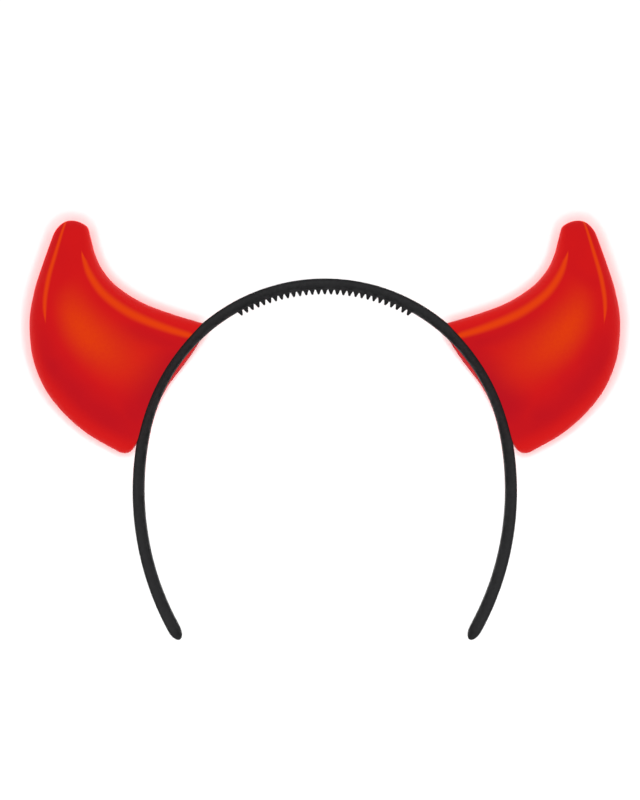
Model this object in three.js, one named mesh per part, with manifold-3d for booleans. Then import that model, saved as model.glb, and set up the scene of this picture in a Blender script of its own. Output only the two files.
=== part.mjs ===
// Light-up horns headband: a black comb headband that carries two hollow red horns, each closed at
// its base by a plug that sits on the band, with a small lamp on the plug.
// Millimetres. Everything is drawn in the wearing plane: x across, y up to the crown, z to the front,
// with the middle of the crown's arc at zero. The whole is then laid on its back, as it rests by
// itself: on the backs of its two horns and on the two tips of its band.
import * as THREE from "three";
import { LoftGeometry } from "three/addons/geometries/LoftGeometry.js";
import { mergeVertices } from "three/addons/utils/BufferGeometryUtils.js";
import Module from "manifold-3d";

const GAP = 0.3; // clearance between neighbouring pieces

// Band: a round crown that runs into two flatter legs
const CROWN_RADIUS = 70; // outer face over the crown
const LEG_RADIUS = 108.9; // outer face down a leg
const JOIN_ANGLE = 12.6; // degrees above level, where crown and leg meet
const LEG_SWEEP = 43.6; // degrees of a leg's arc, from the join to its tip
const BAND_EDGE = 1.1; // rounding of the long edges
const TIP_ROUND = 5; // length of the rounded end of a leg
const BAND_SECTIONS = [
  { along: 0, thick: 3.9, depth: 9 },
  { along: 0.5, thick: 4, depth: 8.8 },
  { along: 0.8, thick: 4.2, depth: 7.8 },
  { along: 1, thick: 4.4, depth: 6.4 },
];

// Comb teeth under the crown
const TOOTH_COUNT = 29;
const TOOTH_PITCH = 2.03; // degrees from tooth to tooth
const TOOTH_LENGTH = 1.9;
const TOOTH_ROOT = 1.8; // width where a tooth leaves the band
const TOOTH_TIP = 1; // width at its rounded end
const TOOTH_DEPTH = 5.4; // front to back
const TOOTH_SINK = 0.9; // how far the root reaches into the band

// Horn: one row for each section, from the base to the tip. inner is the point on the hollow edge that
// faces the crown, outer the one on the full edge, and depth the size from front to back.
const HORN_SECTIONS = [
  { innerX: 44.3, innerY: 53.6, outerX: 72.6, outerY: 4.1, depth: 28 },
  { innerX: 55.8, innerY: 56.6, outerX: 89.3, outerY: 13.9, depth: 32 },
  { innerX: 67.4, innerY: 61.0, outerX: 101.4, outerY: 26.2, depth: 35.5 },
  { innerX: 76.6, innerY: 66.8, outerX: 107.5, outerY: 39.2, depth: 37 },
  { innerX: 82.0, innerY: 72.7, outerX: 109.1, outerY: 53.3, depth: 33.5 },
  { innerX: 84.9, innerY: 78.5, outerX: 107.4, outerY: 65.1, depth: 27 },
  { innerX: 86.4, innerY: 83.9, outerX: 103.9, outerY: 76.4, depth: 19.5 },
  { innerX: 88.2, innerY: 91.2, outerX: 98.4, outerY: 91.8, depth: 10.5 },
];
const HORN_WALL = 1.4;
const HORN_FULLNESS = 2.3; // power of the oval section: 2 is an ellipse, more is squarer
const HORN_TIP_SHARE = 0.055; // share of the horn's length over which its tip rounds off
const BASE_ROUND = 3.4; // rounding round the base edge
const SEAT_FROM = 22; // stretch of the band that a horn's base is cut to fit,
const SEAT_TO = 124; // measured from the top of the crown

// Plug in the mouth of a horn, and the lamp on it
const MOUTH_LIP = 5.6; // from the horn's outline in to its open mouth
const PLUG_HEIGHT = 9;
const LAMP_RADIUS = 2.5;
const LAMP_FLANGE = 3;
const LAMP_FLANGE_HEIGHT = 1;
const LAMP_STRAIGHT = 5; // straight side below the dome

const REST_TILT = 8.15; // degrees from the floor to the band's plane

// Fineness of the facets
const BAND_STEP = 4.6;
const CORNER_POINTS = 3;
const RING_POINTS = 28;
const HORN_RINGS = 18;
const ROUND_RINGS = 4;
const ROUND_END = 0.94; // share of a quarter turn at which a rounded end is closed off
const SEAT_STEPS = 24;
const LAMP_SIDES = 12;

const wasm = await Module();
wasm.setup();

const radians = THREE.MathUtils.degToRad;
const polar = (radius, angle) => new THREE.Vector3(radius * Math.cos(angle), radius * Math.sin(angle), 0);

// A closed geometry as a solid that can be joined and cut.
function solidFrom(geometry) {
  const bare = new THREE.BufferGeometry();
  bare.setAttribute("position", geometry.attributes.position);
  bare.setIndex(geometry.index);
  const merged = mergeVertices(bare, 1e-4);
  const mesh = new wasm.Mesh({
    numProp: 3,
    vertProperties: new Float32Array(merged.attributes.position.array),
    triVerts: new Uint32Array(merged.index.array),
  });
  return new wasm.Manifold(mesh);
}

function geometryFrom(solid) {
  const mesh = solid.getMesh();
  const geometry = new THREE.BufferGeometry();
  geometry.setAttribute("position", new THREE.BufferAttribute(mesh.vertProperties, 3));
  geometry.setIndex(new THREE.BufferAttribute(mesh.triVerts, 1));
  geometry.computeVertexNormals();
  return geometry;
}

const closedLoft = (rings) => new LoftGeometry(rings, { capStart: true, capEnd: true });

// Band path: the point on the outer face and the outward direction, a distance from the crown's top.
const crownLength = CROWN_RADIUS * radians(90 - JOIN_ANGLE);
const halfLength = crownLength + LEG_RADIUS * radians(LEG_SWEEP);
const legCentre = polar(CROWN_RADIUS - LEG_RADIUS, radians(JOIN_ANGLE));

function bandPlace(distance) {
  const side = Math.sign(distance) || 1;
  const run = Math.abs(distance);
  const onCrown = run <= crownLength;
  const angle = onCrown
    ? Math.PI / 2 - run / CROWN_RADIUS
    : radians(JOIN_ANGLE) - (run - crownLength) / LEG_RADIUS;
  const outward = polar(1, angle);
  const radius = onCrown ? CROWN_RADIUS : LEG_RADIUS;
  const face = outward.clone().multiplyScalar(radius);
  if (!onCrown) face.add(legCentre);
  face.x *= side;
  outward.x *= side;
  return { face, outward };
}

// Thickness and depth of the band, worked out between the rows of its table.
function bandSize(distance) {
  const along = Math.abs(distance) / halfLength;
  const next = Math.max(1, BAND_SECTIONS.findIndex((row) => row.along >= along));
  const [a, b] = [BAND_SECTIONS[next - 1], BAND_SECTIONS[next]];
  const share = THREE.MathUtils.smoothstep(along, a.along, b.along);
  const mix = (key) => THREE.MathUtils.lerp(a[key], b[key], share);
  return { thick: mix("thick"), depth: mix("depth") };
}

// A rectangle with rounded corners, from the outer face inwards, scaled down where the tip rounds off.
function bandRing(distance) {
  const { face, outward } = bandPlace(distance);
  const { thick, depth } = bandSize(distance);
  const past = Math.max(0, Math.abs(distance) - (halfLength - TIP_ROUND)) / TIP_ROUND;
  const scale = Math.sqrt(1 - past * past);
  const middle = face.addScaledVector(outward, -thick / 2);
  const ring = [];
  for (let corner = 0; corner < 4; corner++) {
    const outer = corner === 0 || corner === 3 ? 1 : -1;
    const front = corner < 2 ? 1 : -1;
    for (let i = 0; i < CORNER_POINTS; i++) {
      const angle = (Math.PI / 2) * (corner + i / (CORNER_POINTS - 1));
      const across = outer * (thick / 2 - BAND_EDGE) + BAND_EDGE * Math.cos(angle);
      const deep = front * (depth / 2 - BAND_EDGE) + BAND_EDGE * Math.sin(angle);
      ring.push(middle.clone().addScaledVector(outward, scale * across).setZ(scale * deep));
    }
  }
  return ring;
}

function bandDistances() {
  const body = halfLength - TIP_ROUND;
  const steps = 2 * Math.round(body / BAND_STEP);
  const straight = Array.from({ length: steps + 1 }, (_, i) => body * ((2 * i) / steps - 1));
  const round = Array.from({ length: ROUND_RINGS }, (_, i) => {
    const turn = (ROUND_END * Math.PI * (i + 1)) / (2 * ROUND_RINGS);
    return body + TIP_ROUND * Math.sin(turn);
  });
  return [...round.map((d) => -d).reverse(), ...straight, ...round];
}

// One comb tooth, drawn with its root at zero and its end towards -y.
function toothGeometry() {
  const [root, tip] = [TOOTH_ROOT / 2, TOOTH_TIP / 2];
  const outline = new THREE.Shape();
  outline.moveTo(root, TOOTH_SINK);
  outline.lineTo(-root, TOOTH_SINK);
  outline.lineTo(-root, 0);
  outline.lineTo(-tip, tip - TOOTH_LENGTH);
  outline.absarc(0, tip - TOOTH_LENGTH, tip, Math.PI, 2 * Math.PI, false);
  outline.lineTo(root, 0);
  const options = { depth: TOOTH_DEPTH, bevelEnabled: false, curveSegments: 3 };
  return new THREE.ExtrudeGeometry(outline, options).translate(0, 0, -TOOTH_DEPTH / 2);
}

function bandGeometry() {
  let solid = solidFrom(closedLoft(bandDistances().map(bandRing)));
  const tooth = toothGeometry().translate(0, CROWN_RADIUS - BAND_SECTIONS[0].thick, 0);
  for (let i = 0; i < TOOTH_COUNT; i++) {
    const turn = radians(TOOTH_PITCH * (i - (TOOTH_COUNT - 1) / 2));
    solid = solid.add(solidFrom(tooth.clone().rotateZ(turn)));
  }
  return geometryFrom(solid);
}

// Right horn: two smooth edge curves through the rows of the table; the outer one also carries the depth.
const edgeCurve = (points) => new THREE.CatmullRomCurve3(points, false, "catmullrom", 0.5);
const innerEdge = edgeCurve(HORN_SECTIONS.map((s) => new THREE.Vector3(s.innerX, s.innerY, 0)));
const outerEdge = edgeCurve(HORN_SECTIONS.map((s) => new THREE.Vector3(s.outerX, s.outerY, s.depth)));

function hornSection(share) {
  const inner = innerEdge.getPoint(share);
  const outer = outerEdge.getPoint(share);
  const depth = outer.z;
  outer.z = 0;
  const half = inner.clone().sub(outer).multiplyScalar(0.5);
  return {
    middle: inner.add(outer).multiplyScalar(0.5),
    across: half.clone().normalize(),
    halfWidth: half.length(),
    halfDepth: depth / 2,
  };
}

// An oval ring of a section, drawn in by an inset and moved along by a shift.
function hornRing(section, inset, scale = 1, shift = new THREE.Vector3()) {
  const power = 2 / HORN_FULLNESS;
  const swell = (value) => Math.sign(value) * Math.abs(value) ** power;
  return Array.from({ length: RING_POINTS }, (_, i) => {
    const angle = (2 * Math.PI * i) / RING_POINTS;
    const wide = scale * (section.halfWidth - inset) * swell(Math.cos(angle));
    const deep = scale * (section.halfDepth - inset) * swell(Math.sin(angle));
    return section.middle.clone().add(shift).addScaledVector(section.across, wide).setZ(deep);
  });
}

const base = hornSection(0);
const baseAxis = new THREE.Vector3(base.across.y, -base.across.x, 0);
const firstRise = hornSection(1 / (HORN_SECTIONS.length - 1)).middle.distanceTo(base.middle);
const shareOfHeight = (height) => height / (firstRise * (HORN_SECTIONS.length - 1));

// The body of a horn drawn in by an inset, with its base edge and its tip rounded off.
function hornBody(inset, baseHeight) {
  const rings = [];
  for (let i = 0; i < ROUND_RINGS; i++) {
    const turn = (Math.PI / 2) * (i / ROUND_RINGS);
    const share = shareOfHeight(baseHeight + BASE_ROUND * (1 - Math.cos(turn)));
    rings.push(hornRing(hornSection(share), inset + BASE_ROUND * (1 - Math.sin(turn))));
  }
  const start = shareOfHeight(baseHeight + BASE_ROUND);
  const end = 1 - HORN_TIP_SHARE;
  for (let i = 0; i <= HORN_RINGS; i++) {
    rings.push(hornRing(hornSection(start + (end - start) * (i / HORN_RINGS)), inset));
  }
  const tipRun = HORN_TIP_SHARE - shareOfHeight(inset);
  for (let i = 1; i <= ROUND_RINGS; i++) {
    const turn = (ROUND_END * Math.PI * i) / (2 * ROUND_RINGS);
    const scale = Math.cos(turn) ** (2 / HORN_FULLNESS);
    rings.push(hornRing(hornSection(end + tipRun * Math.sin(turn)), inset, scale));
  }
  return solidFrom(closedLoft(rings));
}

// The room that the band takes in a horn's base: all that lies inside its outer face, from just behind
// the band to in front of the horn, grown by a margin.
function bandRoom(margin) {
  const room = new THREE.Shape();
  room.moveTo(0, 0);
  for (let i = SEAT_STEPS; i >= 0; i--) {
    const { face, outward } = bandPlace(SEAT_FROM + ((SEAT_TO - SEAT_FROM) * i) / SEAT_STEPS);
    face.addScaledVector(outward, margin);
    room.lineTo(face.x, face.y);
  }
  const back = BAND_SECTIONS[0].depth / 2 + margin;
  const front = Math.max(...HORN_SECTIONS.map((s) => s.depth)) / 2;
  const options = { depth: back + front, bevelEnabled: false };
  return solidFrom(new THREE.ExtrudeGeometry(room, options).translate(0, 0, -back));
}

// A straight prism on the horn's base outline, from one height above the base plane to another.
function mouthPrism(inset, from, to) {
  const ring = (height) => hornRing(base, inset, 1, baseAxis.clone().multiplyScalar(height));
  return solidFrom(closedLoft([ring(from), ring(to)]));
}

function hornGeometry() {
  const outside = hornBody(0, 0).subtract(bandRoom(GAP));
  const inside = hornBody(HORN_WALL, HORN_WALL).subtract(bandRoom(GAP + HORN_WALL));
  const mouth = mouthPrism(MOUTH_LIP, -1, PLUG_HEIGHT);
  return geometryFrom(outside.subtract(inside).subtract(mouth));
}

function plugGeometry() {
  return geometryFrom(mouthPrism(MOUTH_LIP + GAP, 0, PLUG_HEIGHT).subtract(bandRoom(GAP)));
}

// The lamp stands on the plug along the base's own direction: a flange, a straight side and a dome.
function lampGeometry() {
  const profile = [
    new THREE.Vector2(0, 0),
    new THREE.Vector2(LAMP_FLANGE, 0),
    new THREE.Vector2(LAMP_FLANGE, LAMP_FLANGE_HEIGHT),
    new THREE.Vector2(LAMP_RADIUS, LAMP_FLANGE_HEIGHT),
  ];
  for (let i = 0; i <= ROUND_RINGS; i++) {
    const turn = (Math.PI / 2) * (i / ROUND_RINGS);
    const height = LAMP_FLANGE_HEIGHT + LAMP_STRAIGHT + LAMP_RADIUS * Math.sin(turn);
    profile.push(new THREE.Vector2(i < ROUND_RINGS ? LAMP_RADIUS * Math.cos(turn) : 0, height));
  }
  return new THREE.LatheGeometry(profile, LAMP_SIDES);
}

const bandFinish = new THREE.MeshStandardMaterial({ color: 0x2a2a2a, roughness: 0.6, metalness: 0 });
const hornFinish = new THREE.MeshStandardMaterial({ color: 0xcd1b1c, roughness: 0.35, metalness: 0 });
const plugFinish = new THREE.MeshStandardMaterial({ color: 0x8c1519, roughness: 0.5, metalness: 0 });
const lampFinish = new THREE.MeshStandardMaterial({ color: 0xff7a2a, roughness: 0.2, metalness: 0 });

function named(name, geometry, finish) {
  const mesh = new THREE.Mesh(geometry, finish);
  mesh.name = name;
  return mesh;
}

// One side: the horn with its plug and lamp, drawn on the right and mirrored for the left.
function hornSide(side, mirror) {
  const group = new THREE.Group();
  const lamp = named("lamp_" + side, lampGeometry(), lampFinish);
  lamp.position.copy(base.middle).addScaledVector(baseAxis, PLUG_HEIGHT + GAP);
  lamp.quaternion.setFromUnitVectors(new THREE.Vector3(0, 1, 0), baseAxis);
  group.add(named("horn_" + side, hornGeometry(), hornFinish));
  group.add(named("plug_" + side, plugGeometry(), plugFinish));
  group.add(lamp);
  group.scale.x = mirror;
  return group;
}

const wearing = new THREE.Group();
wearing.add(named("band", bandGeometry(), bandFinish));
wearing.add(hornSide("left", -1));
wearing.add(hornSide("right", 1));
wearing.rotation.x = radians(REST_TILT);

const headband = new THREE.Group();
headband.add(wearing);
headband.updateMatrixWorld(true);
const box = new THREE.Box3().setFromObject(headband, true);
wearing.position.set(0, -(box.min.y + box.max.y) / 2, -box.min.z);

export default headband;
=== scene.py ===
"""Dresses the light-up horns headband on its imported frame.

The band, the two horns and their plugs are worked out again as fine surfaces, from the sizes that the part
is built on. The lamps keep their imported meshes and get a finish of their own. Sizes are millimetres in the
wearing plane: x to the right, y up to the crown and z to the front, with zero in the middle of the crown's
arc. WearingPlane lays the finished points on the floor of the row frame, in metres.
"""

import logging
import math
from abc import ABC, abstractmethod
from dataclasses import dataclass, field
from enum import Enum
from typing import ClassVar, NamedTuple

import bpy
import numpy as np
from bpy.types import Collection, Material, Mesh, Node, NodeSocket, Object
from mathutils import Matrix, Vector
from numpy.typing import NDArray

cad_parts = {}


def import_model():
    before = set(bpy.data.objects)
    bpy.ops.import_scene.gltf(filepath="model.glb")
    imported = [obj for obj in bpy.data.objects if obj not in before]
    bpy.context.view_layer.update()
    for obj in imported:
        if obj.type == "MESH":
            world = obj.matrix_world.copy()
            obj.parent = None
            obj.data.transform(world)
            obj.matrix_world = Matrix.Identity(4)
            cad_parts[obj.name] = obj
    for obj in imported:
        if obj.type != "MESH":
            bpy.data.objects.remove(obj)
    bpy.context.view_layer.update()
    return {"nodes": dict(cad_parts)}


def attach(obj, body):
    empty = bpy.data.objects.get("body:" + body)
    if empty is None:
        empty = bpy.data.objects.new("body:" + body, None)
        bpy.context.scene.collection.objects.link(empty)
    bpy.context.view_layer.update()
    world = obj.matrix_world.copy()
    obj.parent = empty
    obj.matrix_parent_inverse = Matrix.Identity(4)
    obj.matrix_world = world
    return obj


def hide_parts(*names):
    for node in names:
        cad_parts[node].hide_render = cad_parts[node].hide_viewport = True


Array = NDArray[np.float64]
Colour = tuple[float, float, float, float]
Feed = NodeSocket | float | tuple[float, ...]
Ramp = tuple[float, float, float, float]
Stops = tuple[tuple[float, float], ...]
Noise = tuple[float, float]

LOG = logging.getLogger("headband")
METRES = 0.001
BODY = "root"
WHITE: Colour = (1.0, 1.0, 1.0, 1.0)


class Side(Enum):
    """The two sides as seen from the front; the value is the sign of x there."""

    LEFT = -1
    RIGHT = 1

    @property
    def word(self) -> str:
        """The side as it stands in names."""
        return self.name.lower()

    @property
    def mirror(self) -> Array:
        """What points of the right side are multiplied by."""
        return np.array([float(self.value), 1.0, 1.0])


class Slot(Enum):
    """The record's material slots."""

    BAND = "band_black"
    HORN = "horn_red"
    PLUG = "plug_red"


def paint(red: int, green: int, blue: int) -> Colour:
    """Turns a colour as a screen shows it, 0 to 255 a channel, into a shader's linear one by the sRGB curve.

    Args:
        red: Red as shown.
        green: Green as shown.
        blue: Blue as shown.

    Returns:
        The linear colour, with full alpha.
    """
    shown = np.array([red, green, blue]) / 255.0
    linear = np.where(shown <= 0.04045, shown / 12.92, ((shown + 0.055) / 1.055) ** 2.4)
    return (*(float(value) for value in linear), 1.0)


def smooth_step(low: float, high: float, value: Array) -> Array:
    """Rises from 0 at low to 1 at high along 3t^2 - 2t^3, where t is the share of the way.

    Args:
        low: Where the rise starts.
        high: Where it ends.
        value: The places to work out.

    Returns:
        The height of the rise at each place.
    """
    share = np.clip((value - low) / (high - low), 0.0, 1.0)
    return share * share * (3.0 - 2.0 * share)


def swell(value: Array, power: float) -> Array:
    """Raises the size of a value to a power and keeps its sign.

    Args:
        value: The values, such as cosines.
        power: The power.

    Returns:
        The swollen values.
    """
    return np.sign(value) * np.abs(value) ** power


def both_ways(half: tuple[float, ...]) -> Array:
    """Repeats places on the other side of 0.

    Args:
        half: The places on one side, from 0 outwards.

    Returns:
        The places on both sides, in order.
    """
    places = np.array(half)
    return np.concatenate([-places[:0:-1], places])


def spline(table: Array, share: Array) -> Array:
    """Follows a smooth curve through the rows of a table.

    Between rows 1 and 2 of four rows in turn, the curve is the cubic that leaves row 1 with half of
    (row 2 - row 0) and reaches row 2 with half of (row 3 - row 1). The rows before the first and after
    the last are the end rows mirrored.

    Args:
        table: One row for each knot, evenly spread over the length.
        share: Places along the whole length, from 0 to 1, in any shape.

    Returns:
        The values of the rows at each place, in one more dimension than share.
    """
    knots = np.concatenate([2 * table[:1] - table[1:2], table, 2 * table[-1:] - table[-2:-1]])
    run = np.clip(share, 0.0, 1.0) * (len(table) - 1)
    start = np.minimum(run.astype(int), len(table) - 2)
    part = (run - start)[..., None]
    before, first, second, after = (knots[start + step] for step in range(4))
    linear = second - before
    square = 2 * before - 5 * first + 4 * second - after
    cube = 3 * first - before - 3 * second + after
    return 0.5 * (2 * first + part * (linear + part * (square + part * cube)))


@dataclass(frozen=True)
class WearingPlane:
    """How the wearing plane lies in the row frame, with the headband resting on its back."""

    tilt_deg: float = 8.15
    shift: tuple[float, float, float] = (0.0, -13.8354, 11.6746)

    def to_row(self, points: Array) -> Array:
        """Turns points about x by the tilt, then shifts them, and gives metres.

        Args:
            points: Points in the wearing plane, in millimetres, in the last axis.

        Returns:
            The points in the row frame, in metres.
        """
        cosine = math.cos(math.radians(self.tilt_deg))
        sine = math.sin(math.radians(self.tilt_deg))
        x, y, z = np.moveaxis(points, -1, 0)
        turned = np.stack([x, y * cosine - z * sine, y * sine + z * cosine], axis=-1)
        return (turned + np.array(self.shift)) * METRES


@dataclass
class Surface:
    """A closed skin: rings of points, each closed on itself, between two end points.

    rings holds rows x columns x 3 numbers, ends the points that close the first and the last ring, and
    marks the named values that a finish reads, one for each point of the rings.
    """

    rings: Array
    ends: Array
    marks: dict[str, Array] = field(default_factory=dict)

    def faces(self) -> tuple[Array, Array]:
        """Joins each point to the next column and the next ring, and each end to its ring as a fan.

        Returns:
            The point numbers of the four-sided faces and of the triangles.
        """
        rows, columns = self.rings.shape[:2]
        here = np.arange(rows * columns).reshape(rows, columns)
        beside = np.roll(here, -1, axis=1)
        quads = np.stack([here[:-1], beside[:-1], beside[1:], here[1:]], axis=-1).reshape(-1, 4)
        first = np.full(columns, rows * columns)
        opening = np.stack([first, beside[0], here[0]], axis=-1)
        closing = np.stack([first + 1, here[-1], beside[-1]], axis=-1)
        return quads, np.concatenate([opening, closing])

    def mesh(self, name: str, plane: WearingPlane, crease_deg: float) -> Mesh:
        """Puts the skin into a mesh, turned so that the volume it encloses is positive.

        Args:
            name: The mesh's name.
            plane: How the wearing plane lies in the row frame.
            crease_deg: Edges bent more than this stay sharp.

        Returns:
            The finished mesh.
        """
        points = plane.to_row(np.concatenate([self.rings.reshape(-1, 3), self.ends]))
        quads, fans = self.faces()
        triangles = np.concatenate([quads[:, [0, 1, 2]], quads[:, [0, 2, 3]], fans])
        a, b, c = (points[triangles[:, corner]] for corner in range(3))
        if np.einsum("ij,ij->", a, np.cross(b, c)) < 0.0:
            quads, fans = quads[:, ::-1], fans[:, ::-1]
        starts = np.concatenate([
            4 * np.arange(len(quads)),
            4 * len(quads) + 3 * np.arange(len(fans)),
        ])
        corners = np.concatenate([quads.ravel(), fans.ravel()])
        mesh = bpy.data.meshes.new(name)
        mesh.vertices.add(len(points))
        mesh.vertices.foreach_set("co", points.astype(np.float32).ravel())
        mesh.loops.add(len(corners))
        mesh.loops.foreach_set("vertex_index", corners.astype(np.int32))
        mesh.polygons.add(len(starts))
        mesh.polygons.foreach_set("loop_start", starts.astype(np.int32))
        mesh.update(calc_edges=True)
        mesh.validate()
        for mark, values in self.marks.items():
            ends = [values[0].mean(), values[-1].mean()]
            layer = mesh.attributes.new(mark, "FLOAT", "POINT")
            layer.data.foreach_set("value", np.append(values.ravel(), ends).astype(np.float32))
        mesh.shade_smooth()
        mesh.set_sharp_from_angle(angle=math.radians(crease_deg))
        return mesh


class Speckle(NamedTuple):
    """Noise with its blotches to the metre and finer layers, and the ramp that it is carried over."""

    scale: float
    detail: float
    ramp: Ramp
    rough: float = 0.5


class Graph:
    """A material's nodes around one plain shader.

    A Ramp gives a stretch of values, from its first number to its second, and the results at the two ends.
    A Noise gives blotches to the metre and finer layers.
    """

    def __init__(self, name: str) -> None:
        """Starts a material with its shader joined to the output.

        Args:
            name: The material's name.
        """
        self.material = bpy.data.materials.new(name)
        self.material.use_nodes = True
        self.tree = self.material.node_tree
        self.tree.nodes.clear()
        self.shader = self.add("ShaderNodeBsdfPrincipled")
        output = self.add("ShaderNodeOutputMaterial")
        self.tree.links.new(self.shader.outputs["BSDF"], output.inputs["Surface"])
        self.place = self.add("ShaderNodeTexCoord").outputs["Object"]

    def add(self, kind: str, **settings: object) -> Node:
        """Adds a node and sets its options.

        Args:
            kind: The node's type.
            **settings: Options by name.

        Returns:
            The node.
        """
        node = self.tree.nodes.new(kind)
        for option, value in settings.items():
            setattr(node, option, value)
        return node

    def feed(self, socket: NodeSocket, value: Feed) -> None:
        """Joins another node's output to a socket, or sets the socket's own value.

        Args:
            socket: The input.
            value: An output socket, a number or a colour.
        """
        if isinstance(value, NodeSocket):
            self.tree.links.new(value, socket)
        else:
            socket.default_value = value

    def set(self, **values: Feed) -> None:
        """Feeds the shader's inputs, with spaces in their names written as underscores.

        Args:
            **values: Output sockets, numbers or colours by input name.
        """
        for name, value in values.items():
            self.feed(self.shader.inputs[name.replace("_", " ")], value)

    def math(self, operation: str, *values: Feed) -> NodeSocket:
        """Works out one step of arithmetic.

        Args:
            operation: The step's name.
            *values: What it works on.

        Returns:
            The result.
        """
        node = self.add("ShaderNodeMath", operation=operation)
        for socket, value in zip(node.inputs, values):
            self.feed(socket, value)
        return node.outputs[0]

    def mark(self, name: str) -> NodeSocket:
        """Reads one of the surface's own marks."""
        return self.add("ShaderNodeAttribute", attribute_name=name).outputs["Fac"]

    def noise(self, scale: float, detail: float, rough: float = 0.5) -> NodeSocket:
        """Makes cloudy noise on the object's own coordinates.

        Args:
            scale: Blotches to the metre.
            detail: Finer layers.
            rough: How strong the finer layers are.

        Returns:
            The noise, around 0.5.
        """
        node = self.add("ShaderNodeTexNoise")
        self.feed(node.inputs["Vector"], self.place)
        self.feed(node.inputs["Scale"], scale)
        self.feed(node.inputs["Detail"], detail)
        self.feed(node.inputs["Roughness"], rough)
        return node.outputs["Fac"]

    def spread(self, value: Feed, ramp: Ramp) -> NodeSocket:
        """Carries a value over a ramp, along 3t^2 - 2t^3 and held at the ends.

        Args:
            value: The value.
            ramp: The ramp.

        Returns:
            The result.
        """
        node = self.add("ShaderNodeMapRange", interpolation_type="SMOOTHSTEP")
        self.feed(node.inputs["Value"], value)
        for name, amount in zip(("From Min", "From Max", "To Min", "To Max"), ramp):
            self.feed(node.inputs[name], amount)
        return node.outputs["Result"]

    def speckle(self, speckle: Speckle) -> NodeSocket:
        """Makes noise and carries it over its ramp."""
        return self.spread(self.noise(speckle.scale, speckle.detail, speckle.rough), speckle.ramp)

    def bell(self, value: Feed, middle: float, width: float) -> NodeSocket:
        """Gives exp(-t^2), where t is the distance from the middle in widths.

        Args:
            value: The value.
            middle: Where the bell is 1.
            width: How far off it has sunk to 0.37.

        Returns:
            The bell's height.
        """
        off = self.math("DIVIDE", self.math("SUBTRACT", value, middle), width)
        return self.math("EXPONENT", self.math("MULTIPLY", self.math("MULTIPLY", off, off), -1.0))

    def hump(self, value: Feed, places: Ramp) -> NodeSocket:
        """Rises smoothly from 0 to 1 over the first two places and falls back over the last two.

        Args:
            value: The value.
            places: Where the rise starts and ends, and where the fall does.

        Returns:
            The hump's height.
        """
        rise = self.spread(value, (*places[:2], 0.0, 1.0))
        return self.math("MULTIPLY", rise, self.spread(value, (*places[2:], 1.0, 0.0)))

    def steps(self, value: Feed, stops: Stops) -> NodeSocket:
        """Follows straight lines through a few stops.

        Args:
            value: The value, from 0 to 1.
            stops: Places with the result there, both from 0 to 1.

        Returns:
            The result.
        """
        node = self.add("ShaderNodeValToRGB")
        self.feed(node.inputs["Fac"], value)
        elements = node.color_ramp.elements
        for index, (place, height) in enumerate(stops):
            element = elements[index] if index < 2 else elements.new(place)
            element.position = place
            element.color = (height, height, height, 1.0)
        return node.outputs["Color"]

    def mix(self, share: Feed, first: Feed, second: Feed) -> NodeSocket:
        """Mixes two colours.

        Args:
            share: The second one's share.
            first: A colour.
            second: Another.

        Returns:
            The mixed colour.
        """
        node = self.add("ShaderNodeMix", data_type="RGBA")
        colours = [socket for socket in node.inputs if socket.type == "RGBA"]
        self.feed(node.inputs["Factor"], share)
        self.feed(colours[0], first)
        self.feed(colours[1], second)
        return next(socket for socket in node.outputs if socket.type == "RGBA")

    def bump(self, height: Feed, depth: float, under: NodeSocket | None = None) -> NodeSocket:
        """Turns a height into a fine relief.

        Args:
            height: The height, from 0 to 1.
            depth: What a height of 1 stands for, in metres.
            under: A relief that this one lies on.

        Returns:
            The bent normal.
        """
        node = self.add("ShaderNodeBump")
        self.feed(node.inputs["Distance"], depth)
        self.feed(node.inputs["Height"], height)
        if under is not None:
            self.feed(node.inputs["Normal"], under)
        return node.outputs["Normal"]


class Finish(ABC):
    """A finish that can be put on a piece."""

    @abstractmethod
    def material(self) -> Material:
        """Makes the finish's material."""


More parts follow.
